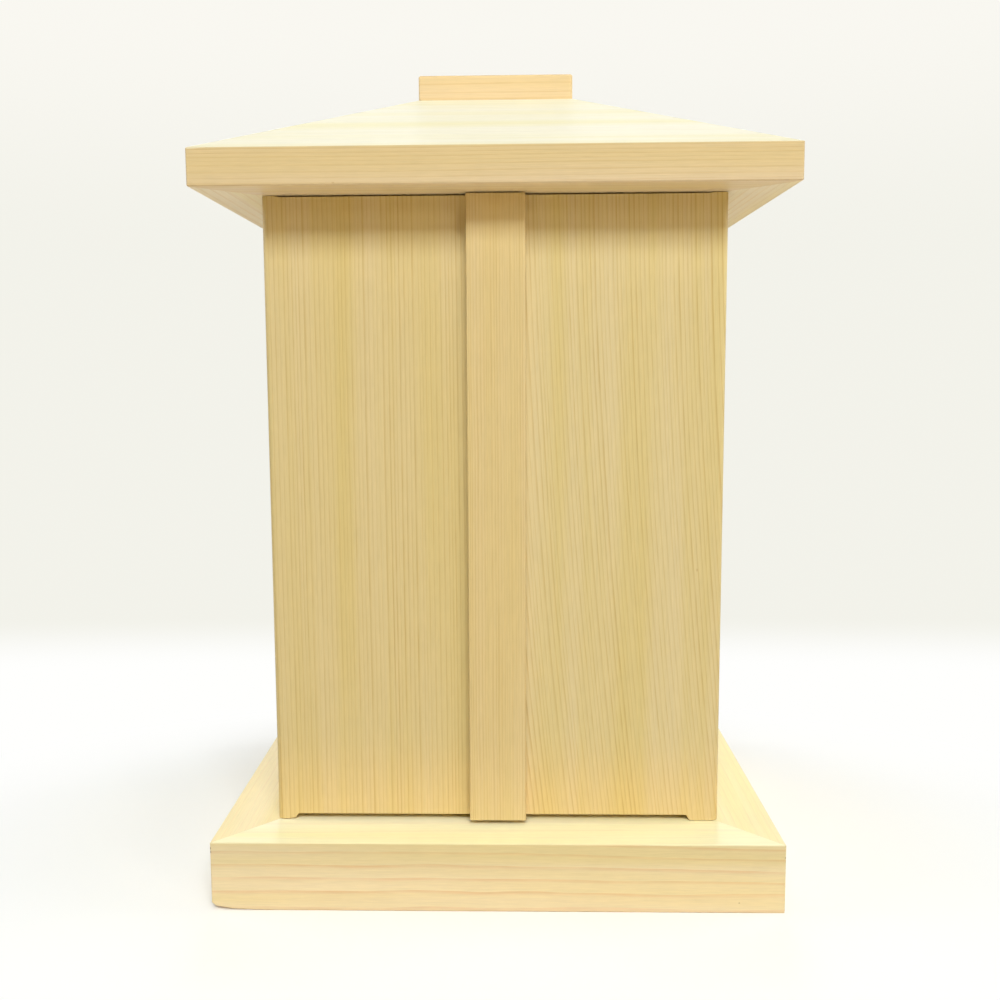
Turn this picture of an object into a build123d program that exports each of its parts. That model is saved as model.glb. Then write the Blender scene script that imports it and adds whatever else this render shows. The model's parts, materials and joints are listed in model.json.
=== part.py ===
from build123d import *

import os
from math import atan2, cos

# A small household shrine cabinet of plain pale wood. A box with two pivot-hung doors stands
# between a mitred base frame and a mitred hip roof, which carries a ridge block.
# The origin is the centre of the base's underside. The doors face -Y and +Z is up.

# Cabinet body
body_width = 182.0
body_depth = 150.0
body_height = 253.5
wall_thickness = 9.0
back_thickness = 6.0
back_inset = 1.0
back_rebate = 5.0
back_clearance = 0.2
floor_thickness = 8.0
ceiling_thickness = 8.0
wall_arris = 0.5

# Base frame
base_height = 28.0
base_overhang = 22.5
base_rail_width = 36.0
base_arris = 0.35
# The front left corner is worn away from below in three flats, each given as (length, height)
corner_wear = [(22.0, 1.25), (12.0, 2.2), (4.0, 3.4)]

# Hip roof
eave_overhang = 22.5
soffit_width = 36.0
fascia_height = 14.0
roof_rise = 35.0
roof_board = 9.0
roof_arris = 0.5
ridge_depth = 35.0
ridge_height = 10.5
ridge_ledge = 9.0
ridge_tenon = 4.0
tenon_clearance = 0.2
ridge_arris = 0.6
# The top edge of the fascia drops at its left end
eave_wear_length = 9.0
eave_wear_drop = 0.6

# Doors
leaf_thickness = 8.0
leaf_rounding = 2.5
leaf_arris = 0.3
leaf_back_gap = 1.0
meeting_gap = 0.6
shoulder_clearance = 0.2
top_relief = 0.6
bottom_relief = 2.5
relief_slant = 1.3
top_shoulder = {"left": 5.5, "right": 6.2}
bottom_shoulder = {"left": 7.3, "right": 11.7}
# The left leaf's foot is nicked at its inner corner
nick_width = 1.9
nick_height = 0.4

# Meeting strip, fixed to the right leaf and lapping over the left one
strip_thickness = 5.0
strip_seat = 12.0
strip_lap = 11.0
strip_lap_clearance = 0.3
strip_top_gap = 0.55
strip_bottom_gap = 2.0
strip_rounding = 0.6

# Pivot pins
pin_radius = 1.25
pin_seat_depth = 9.0
pin_seat_clearance = 0.02
pin_tip = 0.3
socket_depth = 6.0
socket_clearance = 0.05
socket_bottom_gap = 0.05
socket_top_gap = 0.6

# Levels and lines that several pieces share
soffit_z = base_height + body_height
front_y = -body_depth / 2
back_y = body_depth / 2
walls_front_y = front_y + leaf_thickness + leaf_back_gap
back_wall_y = back_y - back_inset - back_thickness
outer_x = body_width / 2
inner_x = outer_x - wall_thickness
pivot_x = outer_x - leaf_thickness / 2
pivot_y = front_y + leaf_thickness / 2
shoulder_low = base_height + shoulder_clearance
shoulder_high = soffit_z - shoulder_clearance

HANDS = {"left": -1, "right": 1}
UP = Vector(0, 0, 1)
OUTWARD = {
    "front": Vector(0, -1, 0),
    "right": Vector(1, 0, 0),
    "back": Vector(0, 1, 0),
    "left": Vector(-1, 0, 0),
}


def save(piece, name):
    piece.part.label = name
    export_step(piece.part, f"parts/{name}.step")


def upright_edges(piece, x):
    """The piece's vertical edges that stand at x."""
    return piece.edges().filter_by(Axis.Z).filter_by_position(Axis.X, x - 0.01, x + 0.01)


def sockets(level, mouth):
    """The doors' two pin sockets in a level face, left and right, open towards mouth."""
    return [Plane(origin=(x, pivot_y, level), z_dir=mouth) for x in (-pivot_x, pivot_x)]


def mitred_side(side, overhang, level, outline, arris, holes, wear):
    """One side of a four-sided frame that stands out round the body, with both ends mitred.

    The outline's points are (inwards from the outer face, up from the level). A vertical arris
    is taken off each corner, and what lies above each plane of wear.
    """
    outward = OUTWARD[side]
    along = outward.cross(UP)
    half_width = outer_x + overhang
    half_depth = body_depth / 2 + overhang
    reach, half_length = (half_width, half_depth) if outward.X else (half_depth, half_width)
    middle = outward * reach + UP * level
    with BuildPart() as piece:
        with BuildSketch(Plane(origin=middle, x_dir=-outward, z_dir=-along)):
            with BuildLine():
                Polyline(*outline, close=True)
            make_face()
        extrude(amount=half_length, both=True)
        for end in (along, -along):
            corner = middle + end * half_length
            split(bisect_by=Plane(origin=corner, z_dir=end - outward), keep=Keep.BOTTOM)
            trimmed = corner - (end + outward) * (arris / 2)
            split(bisect_by=Plane(origin=trimmed, z_dir=end + outward), keep=Keep.BOTTOM)
        for plane in wear:
            split(bisect_by=plane, keep=Keep.BOTTOM)
        for hole in holes:
            with Locations(hole):
                Hole(pin_radius + socket_clearance, socket_depth)
    return piece


# Base: four rails on edge with mitred corners, open inside
base_outline = [
    (base_arris, 0),
    (base_rail_width, 0),
    (base_rail_width, base_height),
    (base_arris, base_height),
    (0, base_height - base_arris),
    (0, base_arris),
]


def worn_flats():
    """The planes that wear the base's front left corner, each as far along the front as back."""
    corner = Vector(-outer_x - base_overhang, front_y - base_overhang)
    return [
        Plane(origin=corner + UP * height, z_dir=(-height / length, -height / length, -1))
        for length, height in corner_wear
    ]


def base_rail(side):
    holes = [] if side == "back" else sockets(base_height, UP)
    wear = worn_flats() if side in ("front", "left") else []
    return mitred_side(side, base_overhang, 0, base_outline, base_arris, holes, wear)


# Roof: four boards, thick along the eaves and thin over the attic. Each has an upright fascia,
# a level soffit that rests on the body, and a slope up to a ledge for the ridge block.
roof_run = body_depth / 2 + eave_overhang - ridge_depth / 2
ridge_length = body_width + 2 * eave_overhang - 2 * roof_run
roof_top_z = soffit_z + fascia_height + roof_rise
roof_board_upright = roof_board / cos(atan2(roof_rise, roof_run))


def roof_underside(inwards):
    return fascia_height + roof_rise * inwards / roof_run - roof_board_upright


roof_outline = [
    (roof_arris, 0),
    (soffit_width, 0),
    (soffit_width, roof_underside(soffit_width)),
    (roof_run + ridge_ledge, roof_underside(roof_run + ridge_ledge)),
    (roof_run + ridge_ledge, fascia_height + roof_rise),
    (roof_run, fascia_height + roof_rise),
    (0, fascia_height),
    (0, roof_arris),
]


def worn_eave():
    """The plane that wears the fascia's top edge at the front left corner, steeper than the hip."""
    corner = Vector(-outer_x - eave_overhang, front_y - eave_overhang, soffit_z + fascia_height)
    return Plane(origin=corner - UP * eave_wear_drop, z_dir=(-eave_wear_drop / eave_wear_length, -1, 1))


def roof_slope(side):
    holes = [] if side == "back" else sockets(soffit_z, -UP)
    wear = [worn_eave()] if side in ("front", "left") else []
    return mitred_side(side, eave_overhang, soffit_z, roof_outline, roof_arris, holes, wear)


def ridge_block():
    """The block that caps the slopes, with a tenon that drops between their ledges."""
    margin = 2 * (ridge_ledge + tenon_clearance)
    with BuildPart() as block:
        with BuildSketch(Plane.XY.offset(roof_top_z)):
            Rectangle(ridge_length, ridge_depth)
        extrude(amount=ridge_height)
        chamfer(block.edges().filter_by(Axis.Z), ridge_arris)
        chamfer(block.faces().sort_by(Axis.Z)[-1].edges(), ridge_arris)
        with BuildSketch(Plane.XY.offset(roof_top_z)):
            Rectangle(ridge_length - margin, ridge_depth - margin)
        extrude(amount=-ridge_tenon)
    return block


# Body: side walls rebated for the back wall, with a floor board and a ceiling board between them
def side_wall(hand):
    sign = HANDS[hand]
    with BuildPart() as wall:
        with BuildSketch(Plane.XY.offset(base_height)):
            with Locations((sign * (inner_x + outer_x) / 2, (walls_front_y + back_y) / 2)):
                Rectangle(wall_thickness, back_y - walls_front_y)
            with Locations((sign * (inner_x + back_rebate / 2), (back_wall_y + back_y) / 2)):
                Rectangle(back_rebate, back_y - back_wall_y, mode=Mode.SUBTRACT)
        extrude(amount=body_height)
        chamfer(upright_edges(wall, sign * outer_x), wall_arris)
    return wall


def back_wall():
    with BuildPart() as wall:
        with BuildSketch(Plane.XY.offset(base_height)):
            with Locations((0, back_wall_y + back_thickness / 2)):
                Rectangle(2 * (inner_x + back_rebate - back_clearance), back_thickness)
        extrude(amount=body_height)
    return wall


def inner_board(level, thickness):
    with BuildPart() as board:
        with BuildSketch(Plane.XY.offset(level)):
            with Locations((0, (walls_front_y + back_wall_y) / 2)):
                Rectangle(2 * inner_x, back_wall_y - walls_front_y)
        extrude(amount=thickness)
    return board


# Doors: a leaf stands on shoulders at its pivot edge, so that the rest of it swings clear of the
# base and the soffit. The pivot edge is rounded so that it turns past the side wall.
def door_leaf(hand):
    sign = HANDS[hand]
    foot = outer_x - bottom_shoulder[hand]
    head = outer_x - top_shoulder[hand]
    inner = meeting_gap / 2
    free_low = base_height + bottom_relief
    free_high = soffit_z - top_relief
    nick = [
        (foot, shoulder_low + nick_height),
        (foot + nick_width, shoulder_low + nick_height),
        (foot + nick_width, shoulder_low),
    ]
    outline = [
        (inner, free_low),
        (foot - relief_slant, free_low),
        *(nick if hand == "left" else [(foot, shoulder_low)]),
        (outer_x, shoulder_low),
        (outer_x, shoulder_high),
        (head, shoulder_high),
        (head - relief_slant, free_high),
        (inner, free_high),
    ]
    with BuildPart() as leaf:
        with BuildSketch(Plane.XZ.offset(-front_y)):
            with BuildLine():
                Polyline(*[(sign * x, z) for x, z in outline], close=True)
            make_face()
        extrude(amount=-leaf_thickness)
        fillet(upright_edges(leaf, sign * outer_x), leaf_rounding)
        chamfer(upright_edges(leaf, sign * inner), leaf_arris)
        for level, mouth in ((shoulder_low, -UP), (shoulder_high, UP)):
            with Locations(Plane(origin=(sign * pivot_x, pivot_y, level), z_dir=mouth)):
                Hole(pin_radius + pin_seat_clearance, pin_seat_depth)
    return leaf


def meeting_strip():
    """The strip over the doors' meeting line, stepped back where it laps over the left leaf."""
    strip_front = front_y - strip_thickness
    step_x = meeting_gap / 2
    with BuildPart() as strip:
        with BuildSketch(Plane.XY.offset(base_height + strip_bottom_gap)):
            with BuildLine():
                Polyline(
                    (-strip_lap, strip_front),
                    (strip_seat, strip_front),
                    (strip_seat, front_y),
                    (step_x, front_y),
                    (step_x, front_y - strip_lap_clearance),
                    (-strip_lap, front_y - strip_lap_clearance),
                    close=True,
                )
            make_face()
        extrude(amount=body_height - strip_bottom_gap - strip_top_gap)
        fillet(strip.edges().filter_by(Axis.Z).group_by(Axis.Y)[0], strip_rounding)
    return strip


# Pivot pins: each is seated in a leaf's shoulder and turns in a socket of the base or the roof
def pivot_pin(hand, level, mouth, socket_gap):
    reach = shoulder_clearance + socket_depth - socket_gap
    foot = Vector(HANDS[hand] * pivot_x, pivot_y, level) - mouth * pin_seat_depth
    with BuildPart() as pin:
        with BuildSketch(Plane(origin=foot, z_dir=mouth)):
            Circle(pin_radius)
        extrude(amount=pin_seat_depth + reach)
        chamfer(pin.edges().filter_by(GeomType.CIRCLE), pin_tip)
    return pin


os.makedirs("parts", exist_ok=True)

for side in OUTWARD:
    save(base_rail(side), f"base_{side}_rail")
    save(roof_slope(side), f"roof_{side}_slope")
save(ridge_block(), "ridge_block")
for hand in HANDS:
    save(side_wall(hand), f"{hand}_side_wall")
save(back_wall(), "back_wall")
save(inner_board(base_height, floor_thickness), "floor_board")
save(inner_board(soffit_z - ceiling_thickness, ceiling_thickness), "ceiling_board")
for hand in HANDS:
    save(door_leaf(hand), f"{hand}_door_leaf")
    save(pivot_pin(hand, shoulder_low, -UP, socket_bottom_gap), f"{hand}_door_bottom_pin")
    save(pivot_pin(hand, shoulder_high, UP, socket_top_gap), f"{hand}_door_top_pin")
save(meeting_strip(), "meeting_strip")
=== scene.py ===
import json
from dataclasses import dataclass
from math import cos, pi, radians, sin

import bpy
from mathutils import Matrix, Vector


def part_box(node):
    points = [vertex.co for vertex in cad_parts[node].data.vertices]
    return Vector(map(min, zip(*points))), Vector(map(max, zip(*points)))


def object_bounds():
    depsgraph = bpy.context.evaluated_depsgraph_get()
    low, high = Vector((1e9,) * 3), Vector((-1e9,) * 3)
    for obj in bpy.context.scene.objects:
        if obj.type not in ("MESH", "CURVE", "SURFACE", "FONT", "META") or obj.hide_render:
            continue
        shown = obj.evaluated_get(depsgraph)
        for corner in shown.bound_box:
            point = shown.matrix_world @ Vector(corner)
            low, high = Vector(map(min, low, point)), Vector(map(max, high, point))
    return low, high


# The looks of a small shrine cabinet of plain planed softwood. Every board is solid wood: its
# growth rings lie round a pith line of its own, so the grain runs on from face to face.

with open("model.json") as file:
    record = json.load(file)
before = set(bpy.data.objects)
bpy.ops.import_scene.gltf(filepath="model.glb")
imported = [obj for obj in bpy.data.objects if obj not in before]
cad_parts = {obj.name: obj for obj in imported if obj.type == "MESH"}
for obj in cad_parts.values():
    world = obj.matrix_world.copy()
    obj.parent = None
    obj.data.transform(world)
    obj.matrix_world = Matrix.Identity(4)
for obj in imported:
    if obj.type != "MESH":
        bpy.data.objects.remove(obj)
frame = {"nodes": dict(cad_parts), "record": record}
cad_low, cad_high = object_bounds()

MM = 0.001
X = Vector((1, 0, 0))
Y = Vector((0, 1, 0))
Z = Vector((0, 0, 1))

# Camera, fitted to the photograph's edges. Yaw turns it to the right and pitch turns it down.
camera_position = Vector((0.00615, -0.49864, 0.21433))
camera_yaw = radians(-1.377)
camera_pitch = radians(6.364)
camera_roll = radians(-0.334)
camera_lens = 38.38
camera_shift = (0.0147, -0.01356)
camera_clip_start = 0.01

# Studio light: soft lamps that face the cabinet, and a pale world
lamp_distance = 3.0
daylight = (0.87, 0.93, 1.0)
warm_light = (0.97, 0.87, 0.76)
world_strength = 0.01
world_colour = (1.0, 0.96, 0.90)


@dataclass
class Lamp:
    """A soft rectangular lamp. Azimuth turns it to the right of the front, in degrees.

    Sizes are metres and power is watts.
    """

    azimuth: float
    elevation: float
    size: tuple
    power: float
    colour: tuple = daylight


lamps = {
    "key": Lamp(5, 40, (1.8, 0.9), 81.0),
    "low": Lamp(41, 15, (0.55, 0.55), 15.0, warm_light),
    "top": Lamp(0, 78, (1.8, 1.2), 16.5),
    "left": Lamp(-100, 20, (1.5, 1.2), 29.0),
    "right": Lamp(100, 20, (1.5, 1.2), 31.0),
    "back": Lamp(180, 20, (1.5, 1.2), 34.0),
}

# Stage: a floor that shows the cabinet's shadow, fades to white in an oval round a middle and
# then to the backdrop's tone in a rounded rectangle. The squash shortens the way to each side.
floor_colour = (0.97, 0.94, 0.86)
floor_bounce_colour = (0.71, 0.545, 0.365)
floor_glow = 0.02
floor_white = (1.0, 1.0, 0.985)
floor_half_width = 4.0
white_middle = Vector((0.0, -0.03, 0.0))
white_squash = 0.62
white_reach = (0.10, 0.20)
backdrop_squash = 0.5
backdrop_reach = (0.25, 0.41)
backdrop_colour = (0.895, 0.89, 0.825)
backdrop_top_colour = (0.95, 0.935, 0.88)
backdrop_top_rise = (0.10, 0.30)

# The woods' mean colours. A board with an entry of its own goes by that, and the others go by
# the record's slot.
tones = {
    "base_wood": (0.74, 0.63, 0.385),
    "body_wood": (0.72, 0.57, 0.30),
    "roof_wood": (0.68, 0.535, 0.325),
    "ridge_wood": (0.79, 0.59, 0.32),
    "door_wood": (0.655, 0.53, 0.268),
    "right_door_leaf": (0.665, 0.55, 0.292),
    "strip_wood": (0.673, 0.53, 0.267),
}
# Painted light: the base and the doors are painted paler towards their feet, where the floor's bounce
# lights them, between two heights in millimetres
painted_foot_light_tones = {
    "base_wood": ((0.87, 0.735, 0.465), (7.0, 27.0)),
    "door_wood": ((0.76, 0.57, 0.27), (30.0, 70.0)),
    "strip_wood": ((0.75, 0.57, 0.275), (30.0, 70.0)),
}
# Painted light: faces that look up are painted paler, with fainter lines, as light from above washes
# them out
painted_top_light_tones = {
    "base_front_rail": (0.96, 0.89, 0.60),
    "base_right_rail": (0.94, 0.815, 0.475),
    "base_back_rail": (0.94, 0.87, 0.57),
    "base_left_rail": (0.95, 0.785, 0.435),
    "roof_wood": (0.86, 0.79, 0.60),
}
painted_top_light_contrast = 0.4
# Painted light and shade: the soffits are painted paler, as the floor's light from below makes them,
# and the front one darker than the rest, as painted shade by the doors
painted_soffit_light_tones = {"roof_wood": (0.97, 0.94, 0.80), "roof_front_slope": (0.875, 0.785, 0.63)}
# What late wood does to the tone: brown lines, and pinker ones in the base
late_tones = {"base_wood": (0.90, 0.66, 0.56)}
late_tone = (0.75, 0.60, 0.34)
# What the yellower bands do to it, with the noise over which they set in, and the resin flecks
band_tone = (0.97, 0.95, 0.76)
band_edge = (0.32, 0.72)
fleck_tone = (0.62, 0.42, 0.26)
fleck_strength = 0.45

# How far a face looks along the grain, up or down before it counts as doing so
end_facing = (0.55, 0.9)
up_facing = (0.6, 0.85)
down_facing = (-0.85, -0.6)

wood_specular = 0.25
wood_ior = 1.5

# Lightness: the spread that each pattern gives it, as shares. End grain is darker, with dots.
fibre_light = 0.16
thread_light = 0.09
shimmer_light = 0.04
end_light = 0.9
end_dot_light = 0.22
end_dot_scale = 3.2
end_contrast = 0.8

# Roughness: its mean, and what fibres, end grain and late wood change in it
wood_roughness = 0.5
fibre_roughness = 0.16
end_roughness = 0.14
late_smoothness = 0.06

# Relief, in millimetres
fibre_height = 0.028
thread_height = 0.03
late_height = 0.016
fleck_depth = 0.02

# Arrises: the boards' width in millimetres, the doors' own, and what counts as an arris or flat
board_arris = 0.15
arrises = {"door_wood": 0.3, "strip_wood": 0.3}
arris_angle = radians(28)
arris_steps = 3
flat_angle = radians(0.5)
weld_distance = 0.002

# Dark nicks and specks: place in millimetres, radius, strength
marks = [
    ((-113.4, -97.4, 25.7), 0.55, 0.8),
    ((-113.4, -97.4, 24.1), 0.55, 0.9),
    ((113.4, -97.4, 22.8), 0.6, 0.7),
    ((113.4, -97.4, 21.2), 0.4, 0.35),
    ((95.5, -97.5, 4.2), 0.35, 0.5),
]
mark_tone = (0.36, 0.26, 0.14)
mark_core = 0.4
mark_depth = 0.15
mark_margin = 1.0

brass_bright = (0.78, 0.57, 0.22)
brass_dull = (0.55, 0.38, 0.15)
brass_roughness = (0.22, 0.5)
tool_ring_scale = (300.0, 300.0, 9000.0)
tool_ring_depth = 0.02
dull_spot_scale = 700.0
dull_spot_edge = (0.35, 0.7)

# The patterns in wood: their streaks' size across the grain and along it in millimetres, the
# fineness, and a shift that keeps them apart
patterns = {
    "sway_x": (26, 210, 2.0, 0.0),
    "sway_y": (26, 210, 2.0, 40.0),
    "ripple": (14, 55, 2.0, 17.0),
    "wobble": (1.1, 34, 2.0, 0.0),
    "late_patch": (9, 160, 2.0, 11.0),
    "late_dash": (1.6, 22, 2.0, 31.0),
    "fibre": (0.4, 7, 3.0, 0.0),
    "thread": (0.8, 34, 2.0, 23.0),
    "band": (13, 420, 2.0, 5.0),
    "shimmer": (8, 9, 3.0, 71.0),
}
seed_step = (97.0, 61.0, 137.0)

# Growth rings: how many millimetres they ripple and wobble, how many rings their spacing drifts
# and how fast
ripple = 0.35
wobble = 0.16
drift = 2.2
drift_rate = 0.17

# Late wood: the gain over a ring's growth, the lines' widths as shares of the board's, how far
# from a ring's edge in millimetres a line is full and how far it takes to stop, and the lines'
# strengths by ring, patch and dash. A patch or dash goes from one noise and strength to another.
late_gain = 0.18
late_widths = (0.7, 1.5)
late_full = 0.12
late_end = 0.08
late_strengths = (0.5, 0.95)
late_patch = (0.25, 0.7, 0.75, 1.15)
late_dash = (0.3, 0.65, 0.6, 1.2)
chance_stretch = 7.0

# Resin flecks: their cells to a millimetre, how many cells go without, and the edge in cells
fleck_cells = (0.1, 0.1, 0.045)
fleck_rarity = 0.88
fleck_edge = (0.012, 0.04)


@dataclass
class Board:
    """How a board was sawn. Lengths are millimetres, in the board's own axes.

    The pith is its place from the board's centre, across the face and inwards from it. Ring is
    the rings' mean spacing, and late is the width of the dark line in each.
    """

    grain: Vector
    face: Vector
    pith: tuple
    ring: float
    late: float = 0.6
    contrast: float = 0.35
    lean: float = 0.0
    bend: float = 0.0
    taper: float = 0.0
    wave: float = 1.0


boards = {
    "left_door_leaf": Board(Z, -Y, (190, 25), 1.75, 0.6, 0.52, lean=0.004, wave=1.2),
    "right_door_leaf": Board(Z, -Y, (-170, 45), 1.65, 0.6, 0.52, lean=0.075, bend=-0.0002, wave=1.6),
    "meeting_strip": Board(Z, -Y, (-90, 30), 1.05, 0.45, 0.42, lean=0.002, wave=1.6),
    "base_front_rail": Board(X, -Y, (20, 12.6), 3.3, 1.1, 0.44, lean=-0.010, wave=4.0),
    "base_right_rail": Board(Y, X, (-22, 16), 2.5, 0.5, 0.55, lean=0.01, wave=2.0),
    "base_back_rail": Board(X, Y, (-26, 20), 2.6, 0.5, 0.55, lean=-0.015, wave=2.0),
    "base_left_rail": Board(Y, -X, (24, 14), 2.3, 0.5, 0.55, lean=-0.01, wave=2.0),
    "roof_front_slope": Board(X, -Y, (-150, 30), 1.6, 0.6, 0.34, wave=1.2),
    "roof_right_slope": Board(Y, X, (140, 40), 1.6, 0.6, 0.34, wave=1.2),
    "roof_back_slope": Board(X, Y, (150, 35), 1.5, 0.6, 0.34, wave=1.2),
    "roof_left_slope": Board(Y, -X, (160, 30), 1.55, 0.6, 0.34, wave=1.2),
    "ridge_block": Board(X, -Y, (-60, 50), 2.2, 0.6, 0.34, wave=1.5),
    "left_side_wall": Board(Z, -X, (120, 60), 2.0, 0.6, 0.4, lean=0.01, wave=2.0),
    "right_side_wall": Board(Z, X, (-130, 50), 1.9, 0.6, 0.4, lean=-0.012, wave=2.0),
    "back_wall": Board(Z, Y, (12, 48), 2.6, 0.7, 0.45, taper=0.05, wave=5.0),
    "floor_board": Board(X, Z, (20, 70), 2.4, 0.7, 0.45, taper=0.03, wave=4.0),
    "ceiling_board": Board(X, -Z, (-30, 80), 2.4, 0.7, 0.45, taper=0.03, wave=4.0),
}


def colour(value):
    """A colour as a socket takes it. Anything else stays as it is."""
    return (*value, 1.0) if isinstance(value, tuple) and len(value) == 3 else value


class Graph:
    """Adds nodes to a tree. A node's input is a number, a colour or another node's output."""

    def __init__(self, tree):
        self.tree = tree

    def add(self, kind, inputs=None, output=0, **settings):
        node = self.tree.nodes.new("ShaderNode" + kind)
        for name, value in settings.items():
            setattr(node, name, value)
        for name, value in (inputs or {}).items():
            self.fill(node.inputs[name], value)
        return node.outputs[output]

    def fill(self, socket, value):
        if isinstance(value, bpy.types.NodeSocket):
            self.tree.links.new(value, socket)
        else:
            socket.default_value = value

    def math(self, operation, *values, **settings):
        return self.add("Math", dict(enumerate(values)), operation=operation, **settings)

    def product(self, first, *others):
        for other in others:
            first = self.math("MULTIPLY", first, other)
        return first

    def centred(self, noise, amount):
        """Noise of 0 to 1, spread to both sides of zero."""
        return self.math("MULTIPLY", self.math("SUBTRACT", noise, 0.5), amount)

    def vector(self, operation, *values, output=0):
        return self.add("VectorMath", dict(enumerate(values)), output, operation=operation)

    def combine(self, x, y, z):
        return self.add("CombineXYZ", {"X": x, "Y": y, "Z": z})

    def separate(self, vector):
        return self.add("SeparateXYZ", {"Vector": vector}).node.outputs

    def step(self, value, low, high, start=0.0, end=1.0):
        """Goes smoothly from start at low to end at high."""
        inputs = dict(enumerate((value, low, high, start, end)))
        return self.add("MapRange", inputs, interpolation_type="SMOOTHSTEP")

    def span(self, value, start, end):
        """Spreads a value of 0 to 1 over start to end."""
        return self.add("MapRange", dict(enumerate((value, 0.0, 1.0, start, end))))

    def tint(self, factor, a, b, blend="MIX"):
        inputs = {0: factor, 6: colour(a), 7: colour(b)}
        return self.add("Mix", inputs, 2, data_type="RGBA", blend_type=blend)


class Wood(Graph):
    """The graph inside the wood's node group."""

    def __init__(self, tree):
        super().__init__(tree)
        self.given = tree.nodes.new("NodeGroupInput").outputs
        seed = self.given["Seed"]
        seeds = self.combine(seed, seed, seed)
        self.place = self.vector("MULTIPLY_ADD", seeds, seed_step, self.given["Position"])

    def streaks(self, name):
        """A pattern's noise, from 0 to 1."""
        across, along, detail, shift = patterns[name]
        moved = self.vector("ADD", self.place, (shift, shift, shift))
        scaled = self.vector("MULTIPLY", moved, (1 / across, 1 / across, 1 / along))
        return self.add("TexNoise", {"Vector": scaled, "Scale": 1.0, "Detail": detail})


def growth_rings(g):
    """The count of rings from the pith. They lean, bend, taper, sway and drift in spacing."""
    given = g.given
    x, y, z = g.separate(given["Position"])
    leaned = g.math("MULTIPLY_ADD", given["Lean"], z, x)
    bent = g.math("MULTIPLY_ADD", given["Bend"], g.math("MULTIPLY", z, z), leaned)
    swayed_x = g.math("ADD", bent, g.centred(g.streaks("sway_x"), given["Wave"]))
    swayed_y = g.math("ADD", y, g.centred(g.streaks("sway_y"), given["Wave"]))
    distance = g.vector("LENGTH", g.combine(swayed_x, swayed_y, 0.0), output=1)
    tapered = g.math("MULTIPLY_ADD", given["Taper"], z, distance)
    rippled = g.math("ADD", tapered, g.product(g.centred(g.streaks("ripple"), ripple), given["Wave"]))
    radius = g.math("ADD", rippled, g.centred(g.streaks("wobble"), wobble))
    even = g.math("DIVIDE", radius, given["Ring"])
    along = g.math("MULTIPLY_ADD", even, drift_rate, given["Seed"])
    spacing = g.add("TexNoise", {"W": along, "Scale": 1.0}, noise_dimensions="1D")
    return g.math("ADD", even, g.centred(spacing, drift))


def late_wood(g, rings):
    """How dark late wood is. It deepens towards a ring's outer edge and then stops.

    Each ring has a line of its own width and strength, in patches and dashes.
    """
    given = g.given
    number = g.math("ADD", g.math("FLOOR", rings), given["Seed"])
    chance = g.add("TexWhiteNoise", {"W": number}, noise_dimensions="1D")
    other_chance = g.math("FRACT", g.math("MULTIPLY", chance, chance_stretch))
    growth = g.math("FRACT", rings)
    left = g.math("MULTIPLY", g.math("SUBTRACT", 1.0, growth), given["Ring"])
    width = g.math("MULTIPLY", given["Late"], g.span(other_chance, *late_widths))
    line = g.math("MULTIPLY", g.step(left, width, late_full), g.step(left, 0.0, late_end))
    strength = g.span(chance, *late_strengths)
    patch = g.step(g.streaks("late_patch"), *late_patch)
    dash = g.step(g.streaks("late_dash"), *late_dash)
    return g.product(g.math("MULTIPLY_ADD", growth, late_gain, line), strength, patch, dash)


def resin_flecks(g):
    """1 in a resin fleck, a short dark dash along the grain, of which there are few."""
    scaled = g.vector("MULTIPLY", g.place, fleck_cells)
    cell = g.add("TexVoronoi", {"Vector": scaled, "Scale": 1.0})
    few = g.math("GREATER_THAN", g.separate(cell.node.outputs["Color"])[0], fleck_rarity)
    return g.math("MULTIPLY", few, g.step(cell, *fleck_edge, 1.0, 0.0))


def socket(tree, name, kind, in_out="INPUT"):
    tree.interface.new_socket(name, in_out=in_out, socket_type="NodeSocket" + kind)


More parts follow.
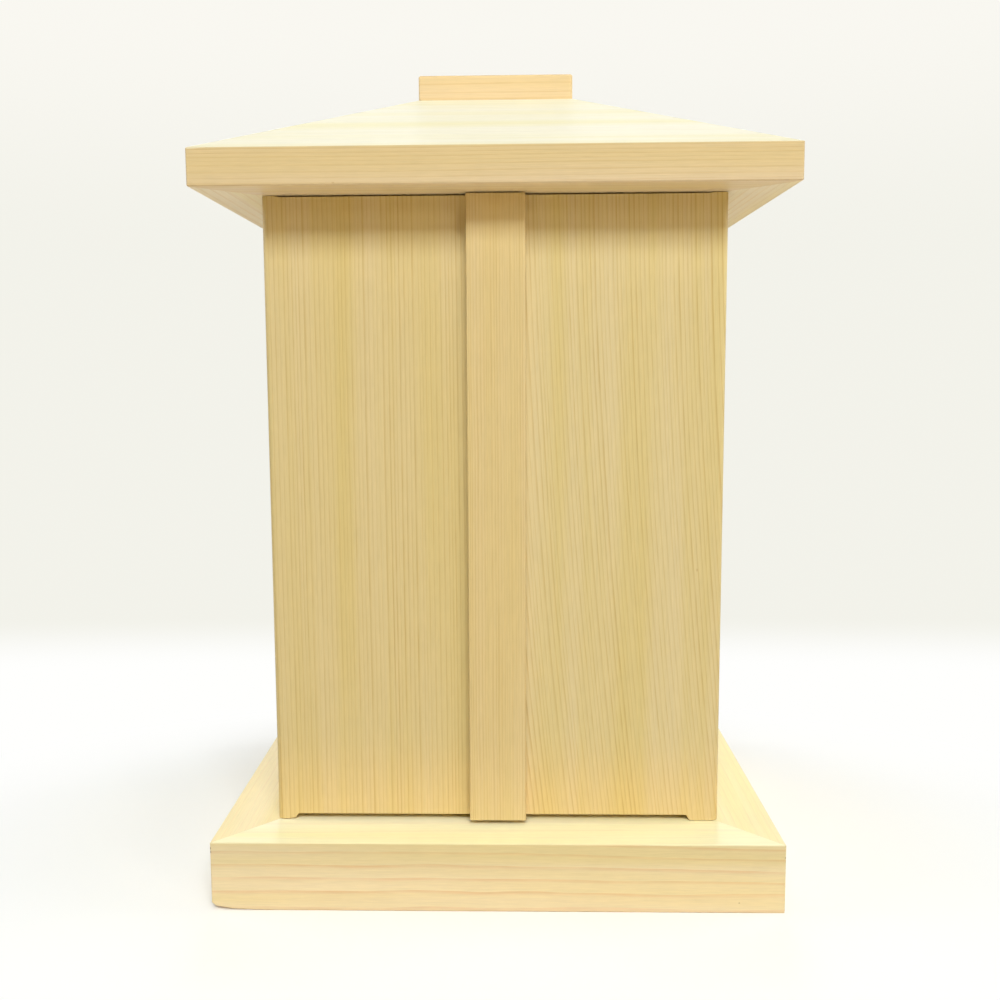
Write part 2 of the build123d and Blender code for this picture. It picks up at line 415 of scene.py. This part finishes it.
def wood_group():
    """Solid softwood. Position is in millimetres from the pith, with Z along the grain."""
    tree = bpy.data.node_groups.new("solid_wood", "ShaderNodeTree")
    socket(tree, "Position", "Vector")
    socket(tree, "Tone", "Color")
    socket(tree, "Late tone", "Color")
    for name in ("Ring", "Late", "Contrast", "Lean", "Bend", "Taper", "Wave", "Seed", "End"):
        socket(tree, name, "Float")
    socket(tree, "Color", "Color", "OUTPUT")
    socket(tree, "Roughness", "Float", "OUTPUT")
    socket(tree, "Height", "Float", "OUTPUT")
    g = Wood(tree)
    end = g.given["End"]
    late = late_wood(g, growth_rings(g))
    fleck = resin_flecks(g)
    fibre = g.streaks("fibre")
    thread = g.streaks("thread")

    along = g.math("ADD", g.centred(fibre, fibre_light), g.centred(thread, thread_light))
    along = g.math("ADD", along, g.centred(g.streaks("shimmer"), shimmer_light))
    dots = {"Vector": g.given["Position"], "Scale": end_dot_scale, "Detail": 2.0}
    on_end = g.math("ADD", g.centred(g.add("TexNoise", dots), end_dot_light), end_light)
    light = g.add("Mix", {0: end, 2: g.math("ADD", along, 1.0), 3: on_end})

    contrast = g.math("MULTIPLY", g.given["Contrast"], g.math("MULTIPLY_ADD", end, end_contrast, 1.0))
    banded = g.step(g.streaks("band"), *band_edge)
    tone = g.tint(banded, g.given["Tone"], band_tone, "MULTIPLY")
    tone = g.tint(g.math("MULTIPLY", late, contrast), tone, g.given["Late tone"], "MULTIPLY")
    tone = g.tint(g.math("MULTIPLY", fleck, fleck_strength), tone, fleck_tone, "MULTIPLY")
    lit = g.vector("SCALE", tone)
    g.fill(lit.node.inputs["Scale"], light)

    rough = g.math("MULTIPLY_ADD", end, end_roughness, wood_roughness)
    rough = g.math("ADD", g.centred(fibre, fibre_roughness), rough)
    rough = g.math("SUBTRACT", rough, g.math("MULTIPLY", late, late_smoothness))
    height = g.math("ADD", g.centred(fibre, fibre_height), g.centred(thread, thread_height))
    height = g.math("ADD", height, g.math("MULTIPLY", late, late_height))
    height = g.math("SUBTRACT", height, g.math("MULTIPLY", fleck, fleck_depth))

    result = tree.nodes.new("NodeGroupOutput").inputs
    g.fill(result["Color"], lit)
    g.fill(result["Roughness"], rough)
    g.fill(result["Height"], height)
    return tree


def entry(table, name, slot):
    """What a table says of a board: its own entry, its slot's, or None."""
    return table.get(name, table.get(slot))


def board_place(g, board, centre, place):
    """The place in the wood, in millimetres from the pith, with Z along the grain."""
    depth = -board.face
    across = depth.cross(board.grain)
    parts = []
    for axis, offset in ((across, board.pith[0]), (depth, board.pith[1]), (board.grain, 0.0)):
        reach = g.vector("DOT_PRODUCT", place["Object"], axis / MM, output=1)
        parts.append(g.math("SUBTRACT", reach, centre.dot(axis) / MM + offset))
    return g.combine(*parts)


def tone_and_contrast(g, name, board, slot, place):
    """A board's tone, with painted light at its foot, on top and under the eaves, and its contrast.
    """
    tone = colour(entry(tones, name, slot))
    contrast = board.contrast
    # Painted light: paler towards the foot, where the floor's bounce lights it
    foot = entry(painted_foot_light_tones, name, slot)
    if foot:
        above = g.step(g.separate(place["Object"])[2], *(height * MM for height in foot[1]))
        tone = g.tint(above, foot[0], tone)
    # Painted light: faces that look up are paler and their lines fainter
    painted_top_tone = entry(painted_top_light_tones, name, slot)
    if painted_top_tone:
        up = g.step(g.separate(place["Normal"])[2], *up_facing)
        tone = g.tint(up, tone, painted_top_tone)
        contrast = g.span(up, board.contrast, painted_top_light_contrast * board.contrast)
    # Painted light and shade: faces that look down, the soffits, are painted paler, the front one
    # less so
    painted_soffit_tone = entry(painted_soffit_light_tones, name, slot)
    if painted_soffit_tone:
        down = g.step(g.separate(place["Normal"])[2], *down_facing, 1.0, 0.0)
        tone = g.tint(down, tone, painted_soffit_tone)
    return tone, contrast


def add_marks(g, low, high, place, surface, height):
    """Adds the dark nicks and specks that lie on a board."""
    margin = mark_margin * MM
    for spot, radius, strength in marks:
        point = Vector(spot) * MM
        if all(low[i] - margin < point[i] < high[i] + margin for i in range(3)):
            away = g.vector("DISTANCE", place["Object"], point, output=1)
            pit = g.step(away, mark_core * radius * MM, radius * MM, strength, 0.0)
            surface = g.tint(pit, surface, mark_tone, "MULTIPLY")
            height = g.math("MULTIPLY_ADD", pit, -mark_depth, height)
    return surface, height


def board_material(name, board, slot, seed, group):
    """The material of one board, whose rings lie round the board's own pith."""
    material = bpy.data.materials.new(name)
    material.use_nodes = True
    g = Graph(material.node_tree)
    shader = material.node_tree.nodes["Principled BSDF"]
    place = g.add("TexCoord").node.outputs
    low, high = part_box(name)
    facing = g.math("ABSOLUTE", g.vector("DOT_PRODUCT", place["Normal"], board.grain, output=1))
    tone, contrast = tone_and_contrast(g, name, board, slot, place)
    values = {
        "Position": board_place(g, board, (low + high) / 2, place),
        "Tone": tone,
        "Late tone": colour(entry(late_tones, name, slot) or late_tone),
        "Ring": board.ring,
        "Late": board.late,
        "Contrast": contrast,
        "Lean": board.lean,
        "Bend": board.bend,
        "Taper": board.taper,
        "Wave": board.wave,
        "Seed": seed,
        "End": g.step(facing, *end_facing),
    }
    wood = material.node_tree.nodes.new("ShaderNodeGroup")
    wood.node_tree = group
    for key, value in values.items():
        g.fill(wood.inputs[key], value)
    surface, height = wood.outputs["Color"], wood.outputs["Height"]
    surface, height = add_marks(g, low, high, place, surface, height)
    g.fill(shader.inputs["Base Color"], surface)
    g.fill(shader.inputs["Roughness"], wood.outputs["Roughness"])
    bump = g.add("Bump", {"Height": height, "Distance": MM, "Strength": 1.0})
    g.fill(shader.inputs["Normal"], bump)
    shader.inputs["Specular IOR Level"].default_value = wood_specular
    shader.inputs["IOR"].default_value = wood_ior
    return material


def pin_material():
    """Turned brass, faintly ringed by the tool and dulled in places."""
    material = bpy.data.materials.new("pin_brass_turned")
    material.use_nodes = True
    g = Graph(material.node_tree)
    shader = material.node_tree.nodes["Principled BSDF"]
    place = g.add("TexCoord").node.outputs
    turned = g.vector("MULTIPLY", place["Object"], tool_ring_scale)
    rings = g.add("TexNoise", {"Vector": turned, "Scale": 1.0, "Detail": 2.0})
    spots = {"Vector": place["Object"], "Scale": dull_spot_scale, "Detail": 3.0}
    dull = g.add("TexNoise", spots)
    surface = g.tint(g.step(dull, *dull_spot_edge), brass_bright, brass_dull)
    g.fill(shader.inputs["Base Color"], surface)
    g.fill(shader.inputs["Roughness"], g.span(dull, *brass_roughness))
    bump = g.add("Bump", {"Height": rings, "Distance": tool_ring_depth * MM})
    g.fill(shader.inputs["Normal"], bump)
    shader.inputs["Metallic"].default_value = 1.0
    return material


def soften(piece, width):
    """Rounds a board's arrises a little, as a few strokes of fine paper leave them."""
    weld = piece.modifiers.new("weld", "WELD")
    weld.merge_threshold = weld_distance * MM
    flat = piece.modifiers.new("flat", "DECIMATE")
    flat.decimate_type = "DISSOLVE"
    flat.angle_limit = flat_angle
    arris = piece.modifiers.new("arris", "BEVEL")
    arris.width = width * MM
    arris.segments = arris_steps
    arris.limit_method = "ANGLE"
    arris.angle_limit = arris_angle
    arris.harden_normals = True


def dress_boards():
    """Gives every board its wood and its arrises, and the pins their brass."""
    group = wood_group()
    slots = {part["node"]: part["material_slot"] for part in frame["record"]["subparts"]}
    for seed, (name, board) in enumerate(boards.items(), 1):
        piece = frame["nodes"][name]
        material = board_material(name, board, slots[name], float(seed), group)
        piece.material_slots[0].material = material
        soften(piece, arrises.get(slots[name], board_arris))
    brass = pin_material()
    for name, slot in slots.items():
        if slot == "pin_brass":
            frame["nodes"][name].material_slots[0].material = brass


def backdrop_rays(g):
    """1 for the rays that show the backdrop: straight to the camera, or by way of metal."""
    path = g.add("LightPath").node.outputs
    seen = g.math("MAXIMUM", path["Is Camera Ray"], path["Is Glossy Ray"])
    return g.math("MAXIMUM", seen, path["Is Transmission Ray"])


def make_world():
    """A pale world, which shows the backdrop's tones behind the floor."""
    world = bpy.data.worlds.new("studio")
    world.use_nodes = True
    bpy.context.scene.world = world
    g = Graph(world.node_tree)
    seen = backdrop_rays(g)
    background = world.node_tree.nodes["Background"]
    up = g.separate(g.add("TexCoord", output="Generated"))[2]
    backdrop = g.tint(g.step(up, *backdrop_top_rise), backdrop_colour, backdrop_top_colour)
    g.fill(background.inputs["Color"], g.tint(seen, world_colour, backdrop))
    g.fill(background.inputs["Strength"], g.span(seen, world_strength, 1.0))


def floor_material():
    """Lit near the cabinet, and then white and the backdrop's tone."""
    material = bpy.data.materials.new("floor")
    material.use_nodes = True
    tree = material.node_tree
    tree.nodes.remove(tree.nodes["Principled BSDF"])
    g = Graph(tree)
    seen = backdrop_rays(g)
    lit = g.add("BsdfDiffuse", {"Color": g.tint(seen, floor_bounce_colour, floor_colour)})
    glow_strength = g.math("MULTIPLY", seen, floor_glow)
    glow = g.add("Emission", {"Color": colour(floor_colour), "Strength": glow_strength})
    near = g.add("AddShader", {0: lit, 1: glow})

    place = g.add("TexCoord", output="Object")
    squashed = g.vector("MULTIPLY", place, (backdrop_squash, 1.0, 0.0))
    squares = g.vector("MULTIPLY", squashed, squashed)
    far_out = g.math("SQRT", g.vector("LENGTH", squares, output=1))
    far_colour = g.tint(g.step(far_out, *backdrop_reach), floor_white, backdrop_colour)
    far = g.add("Emission", {"Color": far_colour})

    from_middle = g.vector("SUBTRACT", place, white_middle)
    squashed = g.vector("MULTIPLY", from_middle, (white_squash, 1.0, 0.0))
    out = g.vector("LENGTH", squashed, output=1)
    fade = g.math("MULTIPLY", seen, g.step(out, *white_reach))
    both = g.add("MixShader", {0: fade, 1: near, 2: far})
    g.fill(tree.nodes["Material Output"].inputs["Surface"], both)
    return material


def make_floor():
    """A plain square floor under the cabinet."""
    mesh = bpy.data.meshes.new("floor")
    w = floor_half_width
    mesh.from_pydata([(-w, -w, 0), (w, -w, 0), (w, w, 0), (-w, w, 0)], [], [(0, 1, 2, 3)])
    floor = bpy.data.objects.new("floor", mesh)
    bpy.context.scene.collection.objects.link(floor)
    mesh.materials.append(floor_material())


def make_lamp(name, given):
    """A soft rectangular lamp that faces the middle of the cabinet."""
    lamp = bpy.data.lights.new(name, "AREA")
    lamp.shape = "RECTANGLE"
    lamp.size, lamp.size_y = given.size
    lamp.energy = given.power
    lamp.color = given.colour
    light = bpy.data.objects.new(name, lamp)
    bpy.context.scene.collection.objects.link(light)
    turn, rise = radians(given.azimuth), radians(given.elevation)
    towards = Vector((sin(turn) * cos(rise), -cos(turn) * cos(rise), sin(rise)))
    light.location = (cad_low + cad_high) / 2 + towards * lamp_distance
    light.rotation_euler = (-towards).to_track_quat("-Z", "Y").to_euler()
    light.visible_camera = False


def make_camera():
    """The camera of the photograph."""
    camera = bpy.data.objects.new("camera", bpy.data.cameras.new("camera"))
    bpy.context.scene.collection.objects.link(camera)
    camera.data.lens = camera_lens
    camera.data.shift_x, camera.data.shift_y = camera_shift
    camera.data.clip_start = camera_clip_start
    turn = Matrix.Rotation(-camera_yaw, 4, "Z") @ Matrix.Rotation(pi / 2 - camera_pitch, 4, "X")
    roll = Matrix.Rotation(camera_roll, 4, "Z")
    camera.matrix_world = Matrix.Translation(camera_position) @ turn @ roll
    bpy.context.scene.camera = camera


dress_boards()
make_world()
make_floor()
for name, lamp in lamps.items():
    make_lamp(name, lamp)
make_camera()
bpy.context.scene.view_settings.view_transform = "Standard"
